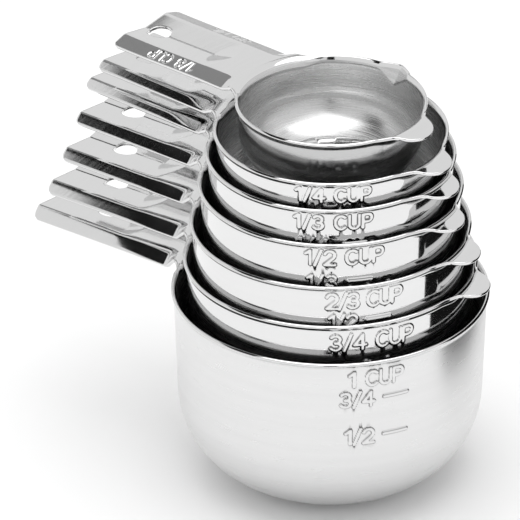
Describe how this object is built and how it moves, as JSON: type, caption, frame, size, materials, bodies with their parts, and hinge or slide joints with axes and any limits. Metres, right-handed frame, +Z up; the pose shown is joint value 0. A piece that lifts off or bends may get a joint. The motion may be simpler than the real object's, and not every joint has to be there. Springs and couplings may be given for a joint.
{
  "type": "measuring cup set",
  "caption": "Nested set of one-piece stainless steel measuring cups with long channel handles, thumb tabs, pouring lips and hanging holes.",
  "frame": {"origin": "centre of the flat base of the 1 cup, the largest, where the nested set stands on a table", "axes": "+Z up along the cups' common axis; the handles point along -X and the pouring lips along +Y"},
  "size_m": [0.1327, 0.0857, 0.11],
  "materials": {
    "one_cup_steel": "satin outside, brushed inside",
    "three_quarter_cup_steel": "mirror-polished outside, brushed inside",
    "two_thirds_cup_steel": "mirror-polished outside, brushed inside",
    "half_cup_steel": "mirror-polished outside, brushed inside",
    "third_cup_steel": "mirror-polished outside, brushed inside",
    "quarter_cup_steel": "mirror-polished outside, brushed inside",
    "eighth_cup_steel": "satin outside, brushed inside"
  },
  "bodies": {
    "one_cup": {"one_cup": "one_cup_steel"},
    "three_quarter_cup": {"three_quarter_cup": "three_quarter_cup_steel"},
    "two_thirds_cup": {"two_thirds_cup": "two_thirds_cup_steel"},
    "half_cup": {"half_cup": "half_cup_steel"},
    "third_cup": {"third_cup": "third_cup_steel"},
    "quarter_cup": {"quarter_cup": "quarter_cup_steel"},
    "eighth_cup": {"eighth_cup": "eighth_cup_steel"}
  },
  "joints": [
    {"name": "three_quarter_cup_lift", "type": "slide", "parent": "one_cup", "child": "three_quarter_cup", "axis": [0, 0, 1], "range_m": [0, 0.065]},
    {"name": "two_thirds_cup_lift", "type": "slide", "parent": "three_quarter_cup", "child": "two_thirds_cup", "axis": [0, 0, 1], "range_m": [0, 0.06]},
    {"name": "half_cup_lift", "type": "slide", "parent": "two_thirds_cup", "child": "half_cup", "axis": [0, 0, 1], "range_m": [0, 0.055]},
    {"name": "third_cup_lift", "type": "slide", "parent": "half_cup", "child": "third_cup", "axis": [0, 0, 1], "range_m": [0, 0.05]},
    {"name": "quarter_cup_lift", "type": "slide", "parent": "third_cup", "child": "quarter_cup", "axis": [0, 0, 1], "range_m": [0, 0.045]},
    {"name": "eighth_cup_lift", "type": "slide", "parent": "quarter_cup", "child": "eighth_cup", "axis": [0, 0, 1], "range_m": [0, 0.04]}
  ]
}
